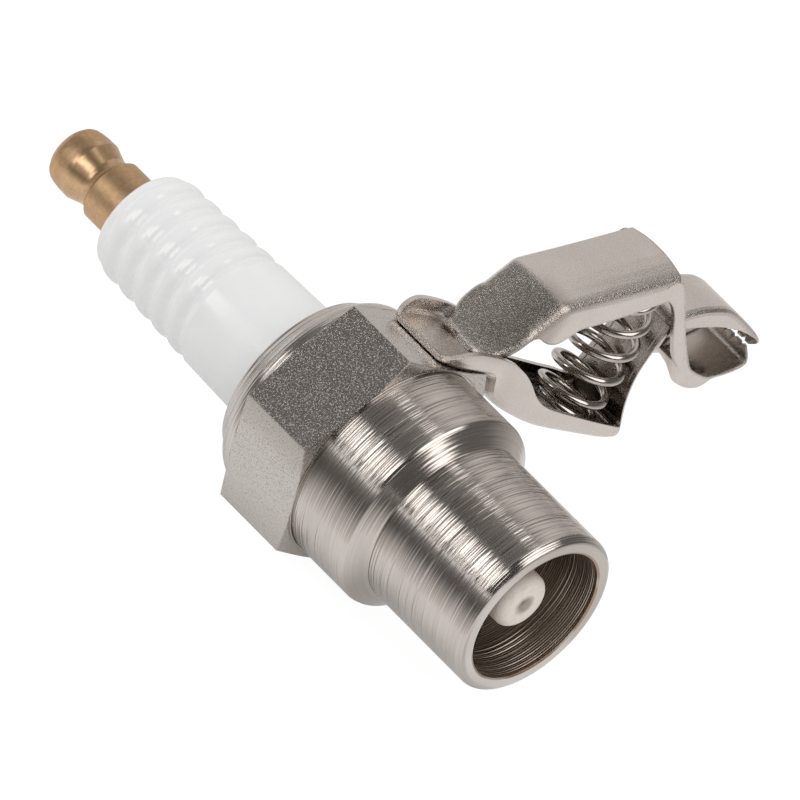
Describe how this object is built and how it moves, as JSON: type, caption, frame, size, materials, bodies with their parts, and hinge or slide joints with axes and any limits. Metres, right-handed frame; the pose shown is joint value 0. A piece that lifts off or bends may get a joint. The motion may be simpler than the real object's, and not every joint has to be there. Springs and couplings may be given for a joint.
{
  "type": "spark plug tester",
  "caption": "Ignition spark tester: plug with a hexagon, an open tube around its nose, a push-on terminal and a sprung earth clip welded to one flat.",
  "frame": {"origin": "on the plug's axis, where the terminal's collar sits on the end of the insulator", "axes": "+X along the plug from the terminal to the open mouth, +Z out of the hexagon flat that carries the clip, +Y the way the clip's jaws point"},
  "size_m": [0.0647, 0.0554, 0.034],
  "materials": {
    "terminal_brass": "dull turned brass",
    "stud_steel": "plain steel",
    "glazed_insulator": "white glaze, matte cream nose",
    "glass_seal": "dark metal-filled glass",
    "resistor_carbon": "matte pressed carbon and glass",
    "electrode_nickel": "nickel alloy",
    "core_copper": "bare copper",
    "shell_nickel": "nickel plate over turned steel",
    "ring_steel": "plain steel",
    "talc": "pressed powder",
    "clip_nickel": "satin nickel on stamped steel",
    "lever_nickel": "satin nickel on stamped steel",
    "spring_steel": "bright drawn wire"
  },
  "bodies": {
    "plug": {"terminal_nut": "terminal_brass", "terminal_stud": "stud_steel", "insulator": "glazed_insulator", "upper_glass_seal": "glass_seal", "resistor": "resistor_carbon", "lower_glass_seal": "glass_seal", "centre_electrode": "electrode_nickel", "electrode_core": "core_copper", "shell": "shell_nickel", "rear_packing_ring": "ring_steel", "talc_packing": "talc", "front_packing_ring": "ring_steel", "seat_washer": "ring_steel", "clip_base": "clip_nickel", "clip_spring": "spring_steel"},
    "lever": {"clip_lever": "lever_nickel"}
  },
  "joints": [
    {"name": "clip_open", "type": "hinge", "parent": "plug", "child": "lever", "pos_m": [0.03035, 0.0062, 0.0112], "axis": [-1, 0, 0], "range_deg": [0, 13], "stiffness_Nm_per_rad": 0.15, "springref_deg": -34.38, "deforming": ["clip_spring"]}
  ]
}
